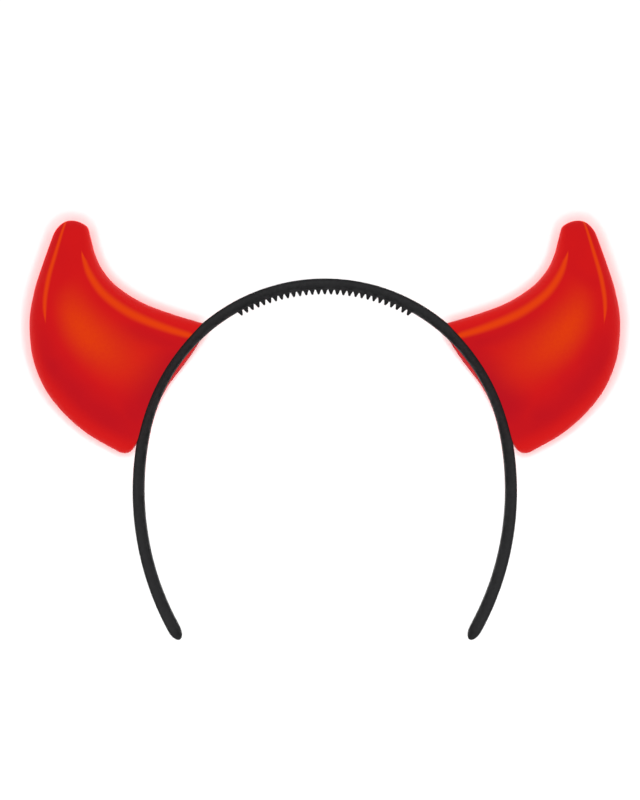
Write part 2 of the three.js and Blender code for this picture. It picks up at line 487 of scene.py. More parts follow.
@dataclass(frozen=True)
class BandPlastic(Finish):
    """Satin black moulded plastic, with painted shade darker inwards, mottle, fine grain and painted edge
    highlights.

    outward runs from 1 on the outer face to -1 on the inner face, along from 0 at the crown to 1 at a tip.
    """

    # Inner and outer colours: painted shade, the inner side darker than the outer, most at the crown.
    inner_crown: Colour = paint(15, 15, 16)
    outer_crown: Colour = paint(34, 34, 35)
    inner_tip: Colour = paint(27, 27, 28)
    outer_tip: Colour = paint(37, 37, 38)
    # Painted highlight colour for the rounded edges.
    edge_highlight: Colour = paint(44, 44, 45)
    leg: Ramp = (0.5, 0.95, 0.0, 1.0)
    # face and inside paint shade across the band: darkest at the inner rounded edges, palest on the outer
    # face.
    face: Ramp = (-0.8, 0.5, 0.15, 0.85)
    inside: Ramp = (-1.0, -0.9, 0.35, 0.0)
    clouds: Speckle = Speckle(60.0, 4.0, (0.35, 0.7, -0.1, 0.1))
    mottle: Speckle = Speckle(800.0, 3.0, (0.3, 0.7, -0.16, 0.16))
    # Noise that breaks the painted edge highlight into patches.
    edge_highlight_patches: Speckle = Speckle(350.0, 3.0, (0.4, 0.65, 0.2, 0.8))
    grain: Noise = (2600.0, 2.0)
    grain_depth: float = 0.00003
    roughness: Ramp = (0.3, 0.7, 0.5, 0.64)
    specular: float = 0.055

    def material(self) -> Material:
        """Makes the black plastic.

        Returns:
            The material.
        """
        graph = Graph("band_plastic")
        outward, grain = graph.mark("outward"), graph.noise(*self.grain)
        # Painted shade across the band, with clouds and mottle added.
        shade_and_mottle = graph.math("ADD", graph.spread(outward, self.face), graph.spread(outward, self.inside))
        for speckle in (self.clouds, self.mottle):
            shade_and_mottle = graph.math("ADD", shade_and_mottle, graph.speckle(speckle))
        leg = graph.spread(graph.mark("along"), self.leg)
        inner = graph.mix(leg, self.inner_crown, self.inner_tip)
        outer = graph.mix(leg, self.outer_crown, self.outer_tip)
        # Painted highlight on the rounded edges, in patches.
        edge_highlight_patches = graph.math("MULTIPLY", graph.mark("edge"), graph.speckle(self.edge_highlight_patches))
        graph.set(
            Base_Color=graph.mix(edge_highlight_patches, graph.mix(shade_and_mottle, inner, outer), self.edge_highlight),
            Roughness=graph.spread(grain, self.roughness),
            Specular_IOR_Level=self.specular,
            Normal=graph.bump(grain, self.grain_depth),
        )
        return graph.material


class Shade(NamedTuple):
    """A part of a horn painted dimmer, as painted shade: a bell across it, with its middle and width, and a
    ramp along it.
    """

    middle: float
    width: float
    fade: Ramp


@dataclass(frozen=True)
class HornVinyl(Finish):
    """Thin red vinyl lit from inside: an orange core over the lamp, painted highlight lines and painted
    shade.

    along runs from 0 at the horn's base to 1 at its tip, across from 1 on its hollow edge to -1 on its full
    edge, and ahead from 1 at its front to -1 at its back, which is painted a deeper red as painted shade.
    Near both side edges a brighter glow is painted. Each route gives the place across for places along of a
    painted highlight line, each width half of the line's width.
    """

    red: Colour = paint(84, 6, 8)
    deep_red: Colour = paint(70, 4, 8)
    lit_red: Colour = paint(195, 22, 22)
    # Painted brighter glow along the side edges.
    rim_glow_red: Colour = paint(204, 25, 22)
    # Dark end of the painted shade.
    painted_shade_red: Colour = paint(170, 16, 28)
    lit_orange: Colour = paint(211, 58, 8)
    # Colour of the painted highlight lines.
    highlight_orange: Colour = paint(217, 62, 8)
    shine: Colour = paint(255, 70, 36)
    core_along: Ramp = (0.0, 0.36, 0.38, 0.68)
    core_across: Ramp = (-0.4, 0.08, 0.07, 0.67)
    core_mottle: Speckle = Speckle(900.0, 3.0, (0.3, 0.7, 0.9, 1.06), 0.6)
    # Routes and widths of the two painted highlight lines.
    inner_highlight_route: Stops = (
        (0.0, 0.79), (0.2, 0.775), (0.4, 0.76), (0.5, 0.75), (0.6, 0.735), (0.7, 0.71), (0.82, 0.64),
    )
    inner_highlight_width: Stops = (
        (0.0, 0.0), (0.045, 0.06), (0.15, 0.074), (0.26, 0.09), (0.4, 0.092), (0.6, 0.095), (0.7, 0.08),
        (0.82, 0.0),
    )
    outer_highlight_route: Stops = ((0.5, 0.51), (0.6, 0.485), (0.75, 0.455), (0.88, 0.435), (1.0, 0.41))
    outer_highlight_width: Stops = (
        (0.5, 0.0), (0.58, 0.07), (0.65, 0.1), (0.75, 0.125), (0.85, 0.13), (0.95, 0.115), (1.0, 0.08),
    )
    # Soft edges and thin ends of the painted highlight lines.
    highlight_edge: Ramp = (0.1, 1.2, 1.0, 0.0)
    highlight_end: Ramp = (0.0, 0.04, 0.0, 1.0)
    highlight_least: float = 0.001
    # Painted shade: dimmer patches on the full and hollow sides, and a painted shadow at the root by the
    # band.
    full_side_shade: Shade = Shade(-0.65, 0.24, (0.35, 0.65, 0.6, 0.0))
    hollow_side_shade: Shade = Shade(0.6, 0.14, (0.12, 0.36, 0.5, 0.0))
    root: Shade = Shade(0.0, 0.8, (0.02, 0.16, 1.0, 0.0))
    # Painted shade on the back of the horn.
    back: Ramp = (-0.95, -0.15, 0.85, 0.0)
    clouds: Speckle = Speckle(70.0, 3.0, (0.35, 0.7, -0.06, 0.12))
    # rim: where the painted edge glow comes in, by the distance across.
    rim: Ramp = (0.72, 0.98, 0.0, 1.0)
    blotches: Noise = (90.0, 3.0)
    roughness: Speckle = Speckle(900.0, 2.0, (0.3, 0.7, 0.36, 0.44))
    specular: float = 0.006
    waves: Noise = (160.0, 2.0)
    wave_depth: float = 0.0002
    grain: Noise = (2400.0, 2.0)
    grain_depth: float = 0.00002

    def line(self, graph: Graph, across: Feed, route: Stops, width: Stops) -> NodeSocket:
        """Draws a painted highlight along the horn: 1 on its route, falling smoothly to 0 at its edges and
        thin ends.

        Args:
            graph: The material's nodes.
            across: The place across the horn.
            route: Where across the line runs, for places along the horn.
            width: Half the line's width, for places along the horn.

        Returns:
            How much of the line shows.
        """
        along = graph.mark("along")
        wide = graph.steps(along, width)
        off = graph.math("ABSOLUTE", graph.math("SUBTRACT", across, graph.steps(along, route)))
        share = graph.math("DIVIDE", off, graph.math("MAXIMUM", wide, self.highlight_least))
        edge, end = graph.spread(share, self.highlight_edge), graph.spread(wide, self.highlight_end)
        return graph.math("MULTIPLY", edge, end)

    def material(self) -> Material:
        """Makes the lit vinyl.

        Returns:
            The material.
        """
        graph = Graph("horn_vinyl")
        along, across = graph.mark("along"), graph.mark("across")
        core = graph.hump(along, self.core_along)
        core = graph.math("MULTIPLY", core, graph.hump(across, self.core_across))
        core = graph.math("MULTIPLY", core, graph.speckle(self.core_mottle))
        # inner and outer are the two painted highlight lines.
        inner = self.line(graph, across, self.inner_highlight_route, self.inner_highlight_width)
        outer = self.line(graph, graph.math("MULTIPLY", across, -1.0), self.outer_highlight_route, self.outer_highlight_width)
        # Painted shade on the back, the side patches and the root, with clouds added.
        painted_shade = graph.spread(graph.mark("ahead"), self.back)
        for shade in (self.full_side_shade, self.hollow_side_shade, self.root):
            bell = graph.bell(across, shade.middle, shade.width)
            painted_shade = graph.math("MAXIMUM", painted_shade, graph.math("MULTIPLY", bell, graph.spread(along, shade.fade)))
        painted_shade = graph.math("ADD", painted_shade, graph.speckle(self.clouds))
        lit = graph.mix(painted_shade, self.lit_red, self.painted_shade_red)
        # Paints a brighter glow along both side edges.
        lit = graph.mix(graph.spread(graph.math("ABSOLUTE", across), self.rim), lit, self.rim_glow_red)
        lit = graph.mix(core, lit, self.lit_orange)
        # Paints the highlight lines over the glow.
        lit = graph.mix(graph.math("MAXIMUM", inner, outer), lit, self.highlight_orange)
        waves = graph.bump(graph.noise(*self.waves), self.wave_depth)
        graph.set(
            Base_Color=graph.mix(graph.noise(*self.blotches), self.red, self.deep_red),
            Roughness=graph.speckle(self.roughness),
            Specular_IOR_Level=self.specular,
            Specular_Tint=self.shine,
            Emission_Color=lit,
            Emission_Strength=1.0,
            Normal=graph.bump(graph.noise(*self.grain), self.grain_depth, waves),
        )
        return graph.material


@dataclass(frozen=True)
class PlugPlastic(Finish):
    """Red moulded plastic that the lamp behind it lights through: faint clouds and a fine grain."""

    red: Colour = paint(84, 8, 10)
    dark: Colour = paint(66, 6, 10)
    lit_red: Colour = paint(196, 20, 22)
    lit_dim: Colour = paint(176, 14, 20)
    clouds: Noise = (180.0, 3.0)
    lit_clouds: Ramp = (0.3, 0.7, 0.0, 1.0)
    grain: Noise = (2200.0, 2.0)
    grain_depth: float = 0.00003
    roughness: Ramp = (0.3, 0.7, 0.5, 0.65)
    specular: float = 0.1

    def material(self) -> Material:
        """Makes the lit red plastic.

        Returns:
            The material.
        """
        graph = Graph("plug_plastic")
        grain, clouds = graph.noise(*self.grain), graph.noise(*self.clouds)
        graph.set(
            Base_Color=graph.mix(clouds, self.red, self.dark),
            Roughness=graph.spread(grain, self.roughness),
            Specular_IOR_Level=self.specular,
            Emission_Color=graph.mix(graph.spread(clouds, self.lit_clouds), self.lit_red, self.lit_dim),
            Emission_Strength=1.0,
            Normal=graph.bump(grain, self.grain_depth),
        )
        return graph.material


@dataclass(frozen=True)
class LampLens(Finish):
    """Glowing amber lens of the lamp inside a horn."""

    amber: Colour = paint(255, 150, 60)
    glow: Colour = paint(255, 120, 40)
    bright: Colour = paint(255, 190, 110)
    roughness: Speckle = Speckle(1500.0, 2.0, (0.3, 0.7, 0.15, 0.25))
    blotches: Noise = (500.0, 2.0)
    strength: float = 2.0

    def material(self) -> Material:
        """Makes the glowing lens.

        Returns:
            The material.
        """
        graph = Graph("lamp_lens")
        graph.set(
            Base_Color=self.amber,
            Roughness=graph.speckle(self.roughness),
            Emission_Color=graph.mix(graph.noise(*self.blotches), self.glow, self.bright),
            Emission_Strength=self.strength,
        )
        return graph.material


@dataclass(frozen=True)
class FloorPaper(Finish):
    """Pale studio paper with a hardly visible tooth, backlit where the lights over its middle fall off.

    A light at lights_height h over the middle has fallen to (1 + (r / h)^2)^-2 at the distance r, in metres.
    """

    lights_height: float
    pale: Colour = paint(244, 244, 244)
    shade: Colour = paint(240, 240, 240)
    tooth: Noise = (40.0, 4.0)
    roughness: float = 0.9
    specular: float = 0.1

    def material(self) -> Material:
        """Makes the paper.

        Returns:
            The material.
        """
        graph = Graph("floor_paper")
        off = graph.add("ShaderNodeVectorMath", operation="LENGTH")
        graph.feed(off.inputs["Vector"], graph.place)
        share = graph.math("DIVIDE", off.outputs["Value"], self.lights_height)
        fallen = graph.math("POWER", graph.math("ADD", graph.math("MULTIPLY", share, share), 1.0), -2.0)
        graph.set(
            Base_Color=graph.mix(graph.noise(*self.tooth), self.pale, self.shade),
            Roughness=self.roughness,
            Specular_IOR_Level=self.specular,
            Emission_Color=WHITE,
            Emission_Strength=graph.math("SUBTRACT", 1.0, fallen),
        )
        return graph.material


class Moulding(ABC):
    """A moulded piece with one closed skin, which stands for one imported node."""

    slot: ClassVar[Slot]
    crease_deg: float

    @property
    @abstractmethod
    def names(self) -> tuple[str, str]:
        """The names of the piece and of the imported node."""

    @abstractmethod
    def surface(self) -> Surface:
        """Works out the piece's skin."""

    def build(self, plane: WearingPlane, finish: Material) -> Object:
        """Builds the piece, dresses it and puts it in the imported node's place.

        Args:
            plane: How the wearing plane lies in the row frame.
            finish: The piece's material.

        Returns:
            The piece.
        """
        name, node = self.names
        mesh = self.surface().mesh(name, plane, self.crease_deg)
        mesh.materials.append(finish)
        piece = bpy.data.objects.new(name, mesh)
        bpy.context.scene.collection.objects.link(piece)
        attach(piece, BODY)
        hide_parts(node)
        LOG.info("%s: %d points, %d faces", name, len(mesh.vertices), len(mesh.polygons))
        return piece


@dataclass(frozen=True)
class BandPath:
    """The line of the band's outer face: a round crown that runs into two flatter legs."""

    crown_radius: float = 70.0
    leg_radius: float = 108.9
    join_deg: float = 12.6
    leg_sweep_deg: float = 43.6

    @property
    def crown_length(self) -> float:
        """Length of the crown's arc from its top to a leg."""
        return self.crown_radius * math.radians(90.0 - self.join_deg)

    @property
    def half_length(self) -> float:
        """Length from the top of the crown to a tip."""
        return self.crown_length + self.leg_radius * math.radians(self.leg_sweep_deg)

    @property
    def leg_centre(self) -> Array:
        """Middle of the right leg's arc."""
        angle = math.radians(self.join_deg)
        return (self.crown_radius - self.leg_radius) * np.array([math.cos(angle), math.sin(angle)])

    def place(self, distance: Array) -> tuple[Array, Array]:
        """Finds points on the outer face: on a circle about zero at the crown, then about the leg's middle.

        Args:
            distance: Lengths from the top of the crown, positive to the right.

        Returns:
            The points and the outward directions there, with x and y in the last axis.
        """
        run = np.abs(distance)
        on_crown = run <= self.crown_length
        crown_angle = math.pi / 2 - run / self.crown_radius
        leg_angle = math.radians(self.join_deg) - (run - self.crown_length) / self.leg_radius
        angle = np.where(on_crown, crown_angle, leg_angle)
        outward = np.stack([np.cos(angle), np.sin(angle)], axis=-1)
        on_leg = self.leg_centre + self.leg_radius * outward
        point = np.where(on_crown[..., None], self.crown_radius * outward, on_leg)
        mirror = np.stack([np.where(distance < 0.0, -1.0, 1.0), np.ones_like(run)], axis=-1)
        return point * mirror, outward * mirror

    def outside(self, x: Array, y: Array) -> Array:
        """Measures how far points of the right half lie outside the outer face.

        Args:
            x: The points' x.
            y: The points' y.

        Returns:
            The distances, negative inside.
        """
        centre = self.leg_centre
        over_leg = np.hypot(x - centre[0], y - centre[1]) - self.leg_radius
        over_crown = np.hypot(x, y) - self.crown_radius
        return np.where(np.arctan2(y, x) >= math.radians(self.join_deg), over_crown, over_leg)


@dataclass(frozen=True)
class CombTeeth:
    """The row of round-ended teeth under the crown.

    offsets are the places beside a tooth's middle at which its outline is worked out.
    """

    count: int = 29
    pitch_deg: float = 2.03
    length: float = 1.82
    tip: float = 0.46
    lean_deg: float = 20.0
    gap_round: float = 0.2
    end_from: float = 0.66
    end_to: float = 0.79
    offsets: tuple[float, ...] = (
        0.0, 0.11, 0.21, 0.3, 0.37, 0.41, 0.435, 0.53, 0.63, 0.73, 0.83, 0.93, 0.99, 1.06, 1.14,
    )

    def stations(self, radius: float) -> Array:
        """Lists the angles from the crown's top at which the teeth's outline is worked out.

        Args:
            radius: Radius of the face that the teeth stand on.

        Returns:
            The angles in radians, in order.
        """
        middles = np.radians(self.pitch_deg) * (np.arange(self.count) - (self.count - 1) / 2)
        return (middles[:, None] + both_ways(self.offsets) / radius).ravel()

    def height(self, angle: Array, radius: float) -> Array:
        """Gives a tooth's height: a round tip, leaning flanks that touch it, and a round foot.

        The tip is a circle at the top. The flank leaves it where it leans by lean_deg, and runs straight
        down into a hollow circle that lies on the face.

        Args:
            angle: Angles from the crown's top, in radians.
            radius: Radius of the face that the teeth stand on.

        Returns:
            The heights, zero between and beyond the teeth.
        """
        pitch = math.radians(self.pitch_deg)
        last = (self.count - 1) / 2
        nearest = np.clip(np.round(angle / pitch), -last, last)
        off = np.abs(angle - nearest * pitch) * radius
        lean = math.radians(self.lean_deg)
        top_off = self.tip * math.cos(lean)
        top_height = self.length - self.tip + self.tip * math.sin(lean)
        foot_off = top_off + top_height * math.tan(lean) + self.gap_round * math.tan(math.pi / 4 - lean / 2)
        foot_from = foot_off - self.gap_round * math.cos(lean)
        top = self.length - self.tip + np.sqrt(np.maximum(self.tip**2 - off**2, 0.0))
        flank = top_height - (off - top_off) / math.tan(lean)
        hollow = np.minimum(foot_off - off, self.gap_round)
        foot = self.gap_round - np.sqrt(self.gap_round**2 - np.maximum(hollow, 0.0) ** 2)
        return np.where(off < top_off, top, np.where(off < foot_from, flank, foot))

    def ends(self, side: Array) -> Array:
        """Rounds a tooth off towards its front and back ends along a quarter circle.

        Args:
            side: Places across the band's inner face, from -1 to 1.

        Returns:
            The share of the height there.
        """
        past = np.clip((np.abs(side) - self.end_from) / (self.end_to - self.end_from), 0.0, 1.0)
        return np.sqrt(1.0 - past * past)


class Outline(NamedTuple):
    """A rounded rectangle: side holds the corner or place on a flat, normal the rounding's direction."""

    side: Array
    normal: Array


@dataclass(frozen=True)
class Band(Moulding):
    """The black headband: a rounded rectangle carried along the band's line, with its comb teeth.

    Each row of the table is a section: its share of the way to a tip, its thickness and its depth.
    """

    slot: ClassVar[Slot] = Slot.BAND
    path: BandPath = BandPath()
    teeth: CombTeeth = CombTeeth()
    sections: tuple[tuple[float, float, float], ...] = (
        (0.0, 3.9, 9.0),
        (0.5, 4.0, 8.8),
        (0.8, 4.2, 7.8),
        (1.0, 4.4, 6.4),
    )
    edge_round: float = 1.1
    tip_round: float = 5.0
    seam_height: float = 0.07
    seam_width: float = 0.25
    step: float = 1.5
    comb_gap: float = 0.3
    tip_steps: int = 12
    corner_steps: int = 8
    edge_lines: int = 4
    outer_places: tuple[float, ...] = (0.0, 0.05, 0.1, 0.18, 0.4, 0.7, 1.0)
    inner_places: tuple[float, ...] = (0.0, 0.35, 0.6, 0.66, 0.7, 0.735, 0.765, 0.785, 0.79, 0.88, 1.0)
    crease_deg: float = 50.0

    @property
    def names(self) -> tuple[str, str]:
        """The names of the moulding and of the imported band."""
        return "band_moulding", "band"

    def size(self, distance: Array) -> tuple[Array, Array]:
        """Works out thickness and depth, easing from each row of the table to the next.

        Args:
            distance: Lengths from the top of the crown.

        Returns:
            The thickness and the depth at each.
        """
        along = np.abs(distance) / self.path.half_length
        thick = np.full_like(along, self.sections[0][1])
        depth = np.full_like(along, self.sections[0][2])
        for first, second in zip(self.sections, self.sections[1:]):
            share = smooth_step(first[0], second[0], along)
            thick += share * (second[1] - first[1])
            depth += share * (second[2] - first[2])
        return thick, depth

    def stations(self) -> Array:
        """Lists the lengths at which the outline is placed, close together over the teeth and the tips.

        Returns:
            The lengths from the top of the crown, in order from the left tip to the right one.
        """
        body = self.path.half_length - self.tip_round
        comb = self.path.crown_radius * self.teeth.stations(self.path.crown_radius - self.sections[0][1])
        start = comb[-1] + self.comb_gap
        plain = np.linspace(start, body, round((body - start) / self.step))
        turn = np.linspace(0.0, math.pi / 2, self.tip_steps + 1)[1:-1]
        side = np.concatenate([plain, body + self.tip_round * np.sin(turn)])
        return np.concatenate([-side[::-1], comb, side])

    def outline(self) -> Outline:
        """Goes round the rounded rectangle: outer face, front, inner face and back, with corners between.

        Returns:
            The places and directions, with outward and front in the last axis.
        """
        outer, inner = both_ways(self.outer_places), both_ways(self.inner_places)[::-1]
        edge = np.linspace(1.0, -1.0, self.edge_lines)
        quarter = math.pi / 2
        turn = np.linspace(0.0, quarter, self.corner_steps + 1)[1:-1]
        one = np.ones_like

        def flat(outward: Array, front: Array, x: float, z: float) -> tuple[Array, Array]:
            """Gives a flat's places, with one direction for all."""
            side = np.stack([outward, front], axis=-1)
            return side, np.broadcast_to([x, z], side.shape)

        def corner(x: float, z: float, start: float) -> tuple[Array, Array]:
            """Gives a corner's one place, with directions over a quarter turn."""
            normal = np.stack([np.cos(start + turn), np.sin(start + turn)], axis=-1)
            return np.broadcast_to([x, z], normal.shape), normal

        pieces = (
            flat(one(outer), outer, 1.0, 0.0),
            corner(1.0, 1.0, 0.0),
            flat(edge, one(edge), 0.0, 1.0),
            corner(-1.0, 1.0, quarter),
            flat(-one(inner), inner, -1.0, 0.0),
            corner(-1.0, -1.0, 2 * quarter),
            flat(edge[::-1], -one(edge), 0.0, -1.0),
            corner(1.0, -1.0, 3 * quarter),
        )
        sides, normals = zip(*pieces)
        return Outline(np.concatenate(sides), np.concatenate(normals))

    def surface(self) -> Surface:
        """Carries the outline along the band's line.

        A point lies at side * (half size - rounding) + rounding * normal from the middle of the section.
        On the outer face a low moulding seam is added as a bell over the middle, on the inner face the
        teeth. Over the last stretch the outline shrinks by the square root of 1 - t^2 to a round tip.

        Returns:
            The band's skin.
        """
        distance = self.stations()
        point, outward = self.path.place(distance)
        thick, depth = self.size(distance)
        outline = self.outline()
        past = np.maximum(np.abs(distance) - (self.path.half_length - self.tip_round), 0.0) / self.tip_round
        scale = np.sqrt(1.0 - past * past)[:, None]
        round_off = self.edge_round
        across = outline.side[:, 0] * (thick[:, None] / 2 - round_off) + round_off * outline.normal[:, 0]
        front = outline.side[:, 1] * (depth[:, None] / 2 - round_off) + round_off * outline.normal[:, 1]
        seam = self.seam_height * np.exp(-((front / self.seam_width) ** 2)) * (outline.normal[:, 0] == 1.0)
        comb_radius = self.path.crown_radius - self.sections[0][1]
        tooth = self.teeth.height(distance / self.path.crown_radius, comb_radius)[:, None]
        tooth = tooth * self.teeth.ends(outline.side[:, 1]) * (outline.normal[:, 0] == -1.0)
        reach = scale * (across + seam) - tooth - thick[:, None] / 2
        xy = point[:, None, :] + reach[..., None] * outward[:, None, :]
        rings = np.concatenate([xy, (scale * front)[..., None]], axis=-1)
        tips, tip_out = self.path.place(np.array([-1.0, 1.0]) * self.path.half_length)
        tips = tips - tip_out * self.size(np.array([self.path.half_length]))[0] / 2
        ends = np.concatenate([tips, np.zeros((2, 1))], axis=-1)
        edge = 2.0 * np.abs(outline.normal[:, 0] * outline.normal[:, 1])
        along = np.abs(distance)[:, None] / self.path.half_length
        marks = {
            "edge": np.broadcast_to(edge, rings.shape[:2]),
            "along": np.broadcast_to(along, rings.shape[:2]),
            "outward": np.clip(2.0 * across / thick[:, None], -1.0, 1.0),
        }
        return Surface(rings, ends, marks)


class Section(NamedTuple):
    """Oval cross-sections of a horn: middle, direction across, and half sizes."""

    middle: Array
    across: Array
    half_width: Array
    half_depth: Array


class Columns(NamedTuple):
    """The lines along a horn: their turn round it, and whether they end on the band or behind it."""

    turn: Array
    on_band: Array


class Stretch(NamedTuple):
    """Rings of a horn in order: points, places along it, and how far the marks across and ahead reach."""

    points: Array
    along: Array
    reach: Array

    def backwards(self) -> "Stretch":
        """Gives the rings in the other order."""
        return Stretch(*(values[::-1] for values in self))


@dataclass(frozen=True)
class Horn(Moulding):
    """A hollow red horn: an oval carried along two curved edges, cut to the band at its base.

    Each row of the table is a section: x and y on the hollow edge, x and y on the full edge, and depth.
    step_width, seam_turn and the gaps are in radians round the horn, seam_places in seam turns and tip_stop
    in quarter turns.
    """

    slot: ClassVar[Slot] = Slot.HORN
    side: Side
    path: BandPath = BandPath()
    sections: tuple[tuple[float, float, float, float, float], ...] = (
        (42.9, 52.8, 72.75, 4.2, 28.0),
        (55.8, 56.6, 89.3, 13.9, 32.0),
        (67.4, 61.0, 101.4, 26.2, 35.5),
        (76.6, 66.8, 107.5, 39.2, 37.0),
        (82.0, 72.7, 109.1, 53.3, 33.5),
        (84.9, 78.5, 107.4, 65.1, 27.0),
        (86.4, 83.9, 103.9, 76.4, 19.5),
        (88.2, 91.2, 98.4, 91.8, 10.5),
    )
    wall: float = 1.4
    fullness: float = 2.3
    tip_share: float = 0.055
    tip_stop: float = 0.985
    base_round: float = 3.4
    mouth_lip: float = 5.6
    band_half: float = 4.5
    seat_sink: float = 0.12
    front_lean: float = 0.12
    base_hollow: float = 1.65
    hollow_middle: float = 0.02
    hollow_width: float = 0.46
    even_from: float = 0.16
    step_width: float = 0.12
    step_gap: float = 0.012
    seam_height: float = 0.12
    seam_turn: float = 0.009
    seam_gap: float = 0.05
    seam_places: tuple[float, ...] = (0.0, 0.7, 1.4, 2.2)
    side_lines: int = 10
    front_lines: int = 84
    rear_lines: int = 66
    round_rows: int = 9
    low_rows: int = 13
    even_rows: int = 80
    tip_rows: int = 15
    lip_rows: int = 7
    inner_rows: int = 30
    inner_tip_skip: int = 3
    seat_limit: float = 0.45
    seat_trials: int = 1200
    seat_reach: float = 25.0
    seat_halvings: int = 40
    crease_deg: float = 40.0

    @property
    def names(self) -> tuple[str, str]:
        """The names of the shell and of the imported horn."""
        return "horn_shell_" + self.side.word, "horn_" + self.side.word

    @property
    def power(self) -> float:
        """The power of the sines and cosines that an oval is drawn with."""
        return 2.0 / self.fullness

    @property
    def base(self) -> Section:
        """The section at the base."""
        return self.section(np.array(0.0))

    @property
    def tip_from(self) -> float:
        """The share at which the outside starts to close."""
        return 1.0 - self.tip_share

    @property
    def inner_tip_from(self) -> float:
        """The share at which the inside starts to close."""
        return self.tip_from - self.share_of(self.wall)

    def section(self, share: Array) -> Section:
        """Follows the two edges and the depth along the horn.

        Args:
            share: Places along the horn, 0 at the base and 1 at the tip.

        Returns:
            The sections there.
        """
        rows = spline(np.array(self.sections), share)
        inner, outer = rows[..., 0:2], rows[..., 2:4]
        half = (inner - outer) / 2
        width = np.linalg.norm(half, axis=-1)
        return Section((inner + outer) / 2, half / width[..., None], width, rows[..., 4] / 2)

    def skin(self, share: Array, turn: Array, inset: Array | float, scale: Array | float = 1.0) -> Array:
        """Places points on the horn's ovals.

        At the turn t and with the fullness f, a point lies a = |sin t|^(2/f) of the half depth to the front
        or back, and (1 - a^f)^(1/f) of the half width to a side. Close to the base, lines beside the step
        keep the z they have on the base, so the step stays level.

        Args:
            share: Places along the horn.
            turn: Turns round it, 0 on the hollow edge and a quarter at the front.
            inset: How far the oval is drawn in.
            scale: How much it is shrunk about its middle.

        Returns:
            The points, for each share and turn.
        """
        share, turn = np.broadcast_arrays(share, turn)
        section = self.section(share)
        depth = section.half_depth - inset
        base_depth = self.step()[0]
        near = self.beside_step(turn) * (1.0 - smooth_step(self.even_from / 2, self.even_from, share))
        ahead = np.abs(np.sin(turn)) ** self.power * (1.0 + near * (base_depth / depth - 1.0))
        over = np.maximum(1.0 - ahead**self.fullness, 0.0) ** (1.0 / self.fullness)
        wide = scale * (section.half_width - inset) * np.sign(np.cos(turn)) * over
        deep = scale * depth * np.sign(np.sin(turn)) * ahead
        xy = section.middle + wide[..., None] * section.across
        return np.concatenate([xy, deep[..., None]], axis=-1)

    def step(self) -> tuple[float, float]:
        """Finds half the depth of the base's edge, and the turn at which that edge passes the band's back.

        Returns:
            The half depth and the turn.
        """
        deep = float(self.base.half_depth) - self.base_round
        back = self.band_half - self.seat_sink
        return deep, math.asin((back / deep) ** (self.fullness / 2.0))

    def beside_step(self, turn: Array) -> Array:
        """Tells how close lines are to the step, exp(-t^2) of their turn from it in step widths.

        Args:
            turn: Turns round the horn.

        Returns:
            1 on the step and 0 away from it.
        """
        return np.exp(-(((np.arcsin(np.sin(turn)) + self.step()[1]) / self.step_width) ** 2))

    def seam(self, turn: Array) -> Array:
        """Raises the moulding seams on the two edges, by exp(-t^2) of the turn from them in seam turns.

        Args:
            turn: Turns round the horn.

        Returns:
            The seams' height.
        """
        off = np.abs((turn + math.pi / 2) % math.pi - math.pi / 2) / self.seam_turn
        return self.seam_height * np.exp(-(off**2))

    def share_of(self, height: float) -> float:
        """Turns a height above the base into a share of the horn's length."""
        first, second = self.section(np.array([0.0, 1.0 / (len(self.sections) - 1)])).middle
        return height / (float(np.linalg.norm(second - first)) * (len(self.sections) - 1))

    def base_inset(self, share: Array) -> Array:
        """Draws the skin in along a quarter circle towards the base.

        Args:
            share: Places along the horn.

        Returns:
            The inset there.
        """
        part = np.clip(share / self.share_of(self.base_round), 0.0, 1.0)
        return self.base_round * (1.0 - np.sqrt(1.0 - (1.0 - part) ** 2))

    def recess(self, across: Array) -> Array:
        """Hollows the base behind the band by exp(-t^2), with t the distance from hollow_middle in widths.

        Args:
            across: Distances across the base.

        Returns:
            How far above the base plane the base lies.
        """
        off = (across / self.base.half_width - self.hollow_middle) / self.hollow_width
        return self.base_hollow * np.exp(-(off**2))

    def lowest_share(self, columns: Columns, height: float) -> Array:
        """Finds the lowest share of each line: the base plane, or the hollow in it behind the band.

        Args:
            columns: The lines.
            height: Height above the base.

        Returns:
            The share along the horn for each line.
        """
        hollow = self.recess(self.base.half_width * swell(np.cos(columns.turn), self.power))
        return self.share_of(1.0) * (height + np.where(columns.on_band, 0.0, hollow))

    def columns(self) -> Columns:
        """Spreads lines round the horn, with pairs where the seat on the band steps down behind it.

        Returns:
            The lines, in order round the horn.
        """
        step = self.step()[1]
        seam = self.seam_turn * both_ways(self.seam_places)
        front = np.concatenate([
            np.linspace(-step + self.step_gap, -self.seam_gap, self.side_lines),
            seam,
            np.linspace(self.seam_gap, math.pi - self.seam_gap, self.front_lines),
            math.pi + seam,
            np.linspace(math.pi + self.seam_gap, math.pi + step - self.step_gap, self.side_lines),
        ])
        first, last = math.pi + step + self.step_gap, 2 * math.pi - step - self.step_gap
        rear = np.linspace(first, last, self.rear_lines)
        on_band = np.concatenate([np.ones(len(front), bool), np.zeros(len(rear), bool)])
        return Columns(np.concatenate([front, rear]), on_band)

    def seat_offset(self, front: Array) -> Array:
        """Gives how far outside the band's outer face the seat lies.

        The rim is sunk into the face by a hair, and in front of the band it leans over to lap its edge.

        Args:
            front: Distances to the front.

        Returns:
            The offsets, negative towards the band's middle.
        """
        return -self.seat_sink - self.front_lean * np.maximum(front - self.band_half, 0.0)

